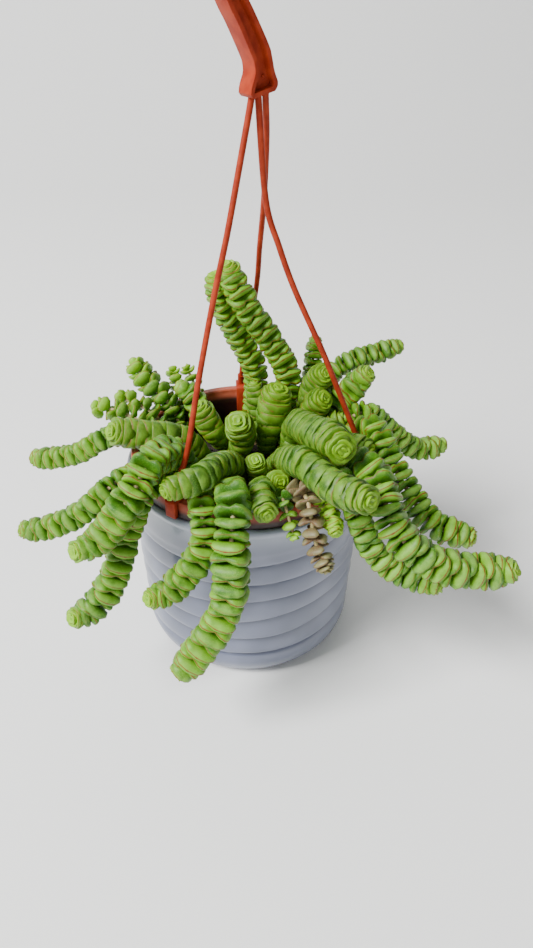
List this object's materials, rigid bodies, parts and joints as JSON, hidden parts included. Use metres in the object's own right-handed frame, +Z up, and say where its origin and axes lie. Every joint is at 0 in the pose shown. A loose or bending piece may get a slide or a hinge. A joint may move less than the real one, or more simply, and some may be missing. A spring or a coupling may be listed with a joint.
{
  "type": "potted crassula",
  "caption": "Trailing crassula with thick stacked leaf pairs in a nursery pot with a hanger, set in a ribbed ceramic cover pot.",
  "frame": {"origin": "middle of the cover pot's flat underside", "axes": "+Z up, -Y towards the front of the arrangement, +X to the right as seen from the front"},
  "size_m": [0.2465, 0.1662, 0.3581],
  "materials": {
    "ceramic": "satin",
    "terracotta": "satin",
    "hanger": "satin",
    "soil": "matte",
    "leaf": "satin",
    "withered": "matte"
  },
  "bodies": {
    "root": {"cover_pot": "ceramic", "hanger_leg_left": "hanger", "hanger_leg_rear": "hanger", "hanger_leg_right": "hanger", "hook": "hanger", "nursery_pot": "terracotta", "soil": "soil", "stem_back_1": "leaf", "stem_back_2": "leaf", "stem_back_3": "leaf", "stem_back_4": "leaf", "stem_back_5": "leaf", "stem_back_6": "leaf", "stem_centre_1": "leaf", "stem_centre_10": "leaf", "stem_centre_11": "leaf", "stem_centre_12": "leaf", "stem_centre_2": "leaf", "stem_centre_3": "leaf", "stem_centre_4": "leaf", "stem_centre_5": "leaf", "stem_centre_6": "leaf", "stem_centre_7": "leaf", "stem_centre_8": "leaf", "stem_centre_9": "leaf", "stem_front_1": "leaf", "stem_front_2": "leaf", "stem_left_1": "leaf", "stem_left_2": "leaf", "stem_left_3": "leaf", "stem_left_4": "leaf", "stem_left_5": "leaf", "stem_left_6": "leaf", "stem_left_7": "leaf", "stem_rear_1": "leaf", "stem_rear_2": "leaf", "stem_rear_3": "leaf", "stem_right_1": "leaf", "stem_right_2": "leaf", "stem_right_3": "leaf", "stem_right_4": "leaf", "stem_small_1": "leaf", "stem_small_2": "leaf", "stem_small_3": "leaf", "stem_small_4": "leaf", "stem_small_5": "leaf", "stem_small_6": "leaf", "stem_small_7": "leaf", "stem_tall_1": "leaf", "stem_tall_2": "leaf", "stem_withered": "withered"}
  },
  "joints": []
}
